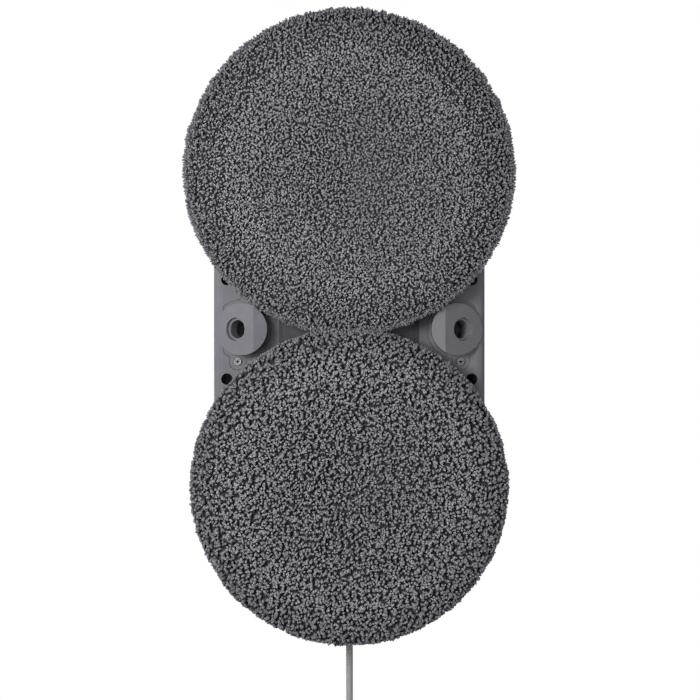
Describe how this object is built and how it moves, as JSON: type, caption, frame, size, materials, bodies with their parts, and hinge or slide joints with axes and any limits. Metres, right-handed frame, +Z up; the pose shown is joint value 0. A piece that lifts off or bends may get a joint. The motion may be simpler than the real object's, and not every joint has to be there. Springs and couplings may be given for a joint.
{
  "type": "robotic floor cleaner",
  "caption": "Low corded cleaning robot on round tufted pads, with slanted edge sensors between them, a folding carry handle, a start button and a coiled mains lead.",
  "frame": {"origin": "on the floor, midway between the two pads' spindles", "axes": "+Z up, +X along the line of the pads away from the mains lead, -Y the way the robot travels"},
  "size_m": [0.885, 0.299, 0.1567],
  "materials": {
    "casing_plastic": "fine moulded grain",
    "shell_plastic": "fine moulded grain",
    "dark_plastic": "smooth",
    "gloss_black": "polished",
    "pad_pile": "dense tufted microfibre pile",
    "hook_tape": "hook side of a touch fastener",
    "seal_rubber": "matt",
    "dark_lens": "infrared-pass, polished",
    "lit_ring": "translucent, frosted",
    "button_white": "satin",
    "rocker_black": "satin",
    "screw_steel": "bright zinc",
    "screw_black": "black zinc",
    "shaft_steel": "ground",
    "bearing_steel": "polished",
    "pinion_brass": "machined",
    "gear_nylon": "natural nylon",
    "plate_aluminium": "milled",
    "motor_steel": "zinc-plated can",
    "winding_copper": "enamelled winding",
    "circuit_board": "solder mask",
    "wire_sheath": "matt",
    "cord_sheath": "light grey, satin",
    "plug_plastic": "moulded",
    "plate_label": "blank, satin",
    "tie_fabric": "woven hook-and-loop tape"
  },
  "bodies": {
    "casing": {"base_pan": "casing_plastic", "service_hatch": "casing_plastic", "hatch_seal": "seal_rubber", "front_turret": "casing_plastic", "rear_turret": "casing_plastic", "sensor_lenses": "dark_lens", "sensor_boards": "circuit_board", "top_shell": "shell_plastic", "housing_seal": "seal_rubber", "spindle_bearings": "bearing_steel", "shaft_seals": "seal_rubber", "idler_pins": "shaft_steel", "left_gear_plate": "plate_aluminium", "right_gear_plate": "plate_aluminium", "left_motor_can": "motor_steel", "right_motor_can": "motor_steel", "turret_screws": "screw_steel", "case_screws": "screw_black", "hatch_screws": "screw_steel", "gear_plate_screws": "screw_steel", "power_board": "circuit_board", "control_board": "circuit_board", "board_screws": "screw_steel", "wiring_loom": "wire_sheath", "handle_pins": "shaft_steel", "control_panel": "gloss_black", "status_ring": "lit_ring", "remote_window": "dark_lens", "rocker_frame": "dark_plastic", "rating_plate": "plate_label", "cord_gland": "seal_rubber", "mains_cord": "cord_sheath", "cord_coil": "cord_sheath", "cord_tail": "cord_sheath", "mains_plug": "plug_plastic", "plug_pins": "screw_steel", "cord_tie": "tie_fabric"},
    "left_disc": {"left_spindle": "shaft_steel", "left_spindle_gear": "gear_nylon", "left_pad_holder": "dark_plastic", "left_holder_screws": "screw_steel", "left_hook_disc": "hook_tape", "left_pad": "pad_pile"},
    "left_idler": {"left_idler_gear": "gear_nylon"},
    "left_rotor": {"left_armature": "winding_copper", "left_motor_pinion": "pinion_brass"},
    "right_disc": {"right_spindle": "shaft_steel", "right_spindle_gear": "gear_nylon", "right_pad_holder": "dark_plastic", "right_holder_screws": "screw_steel", "right_hook_disc": "hook_tape", "right_pad": "pad_pile"},
    "right_idler": {"right_idler_gear": "gear_nylon"},
    "right_rotor": {"right_armature": "winding_copper", "right_motor_pinion": "pinion_brass"},
    "handle": {"carry_handle": "dark_plastic"},
    "start_button": {"start_button": "button_white"},
    "mode_button": {"mode_button": "button_white"},
    "rocker": {"power_rocker": "rocker_black"}
  },
  "joints": [
    {"name": "left_pad_spin", "type": "hinge", "parent": "casing", "child": "left_disc", "pos_m": [0.15, 0, 0.06], "axis": [0, 0, 1], "continuous": true},
    {"name": "left_idler_spin", "type": "hinge", "parent": "casing", "child": "left_idler", "pos_m": [0.11, 0, 0.06], "axis": [0, 0, 1], "continuous": true},
    {"name": "left_rotor_spin", "type": "hinge", "parent": "casing", "child": "left_rotor", "pos_m": [0.07, 0, 0.06], "axis": [0, 0, 1], "continuous": true},
    {"name": "right_pad_spin", "type": "hinge", "parent": "casing", "child": "right_disc", "pos_m": [-0.15, 0, 0.06], "axis": [0, 0, 1], "continuous": true},
    {"name": "right_idler_spin", "type": "hinge", "parent": "casing", "child": "right_idler", "pos_m": [-0.11, 0, 0.06], "axis": [0, 0, 1], "continuous": true},
    {"name": "right_rotor_spin", "type": "hinge", "parent": "casing", "child": "right_rotor", "pos_m": [-0.07, 0, 0.06], "axis": [0, 0, 1], "continuous": true},
    {"name": "handle_fold", "type": "hinge", "parent": "casing", "child": "handle", "pos_m": [0, 0, 0.143], "axis": [1, 0, 0], "range_deg": [0, 90]},
    {"name": "start_press", "type": "slide", "parent": "casing", "child": "start_button", "axis": [0, 0, -1], "range_m": [0, 0.0015], "stiffness_N_per_m": 1200},
    {"name": "mode_press", "type": "slide", "parent": "casing", "child": "mode_button", "axis": [0, 0, -1], "range_m": [0, 0.0015], "stiffness_N_per_m": 1200},
    {"name": "rocker_tip", "type": "hinge", "parent": "casing", "child": "rocker", "pos_m": [-0.2, 0, 0.151], "axis": [0, 1, 0], "range_deg": [0, 20]}
  ],
  "couplings": [
    {"joint": "left_idler_spin", "follows": "left_pad_spin", "ratio": -4},
    {"joint": "left_rotor_spin", "follows": "left_pad_spin", "ratio": 16},
    {"joint": "right_idler_spin", "follows": "right_pad_spin", "ratio": -4},
    {"joint": "right_rotor_spin", "follows": "right_pad_spin", "ratio": 16}
  ]
}
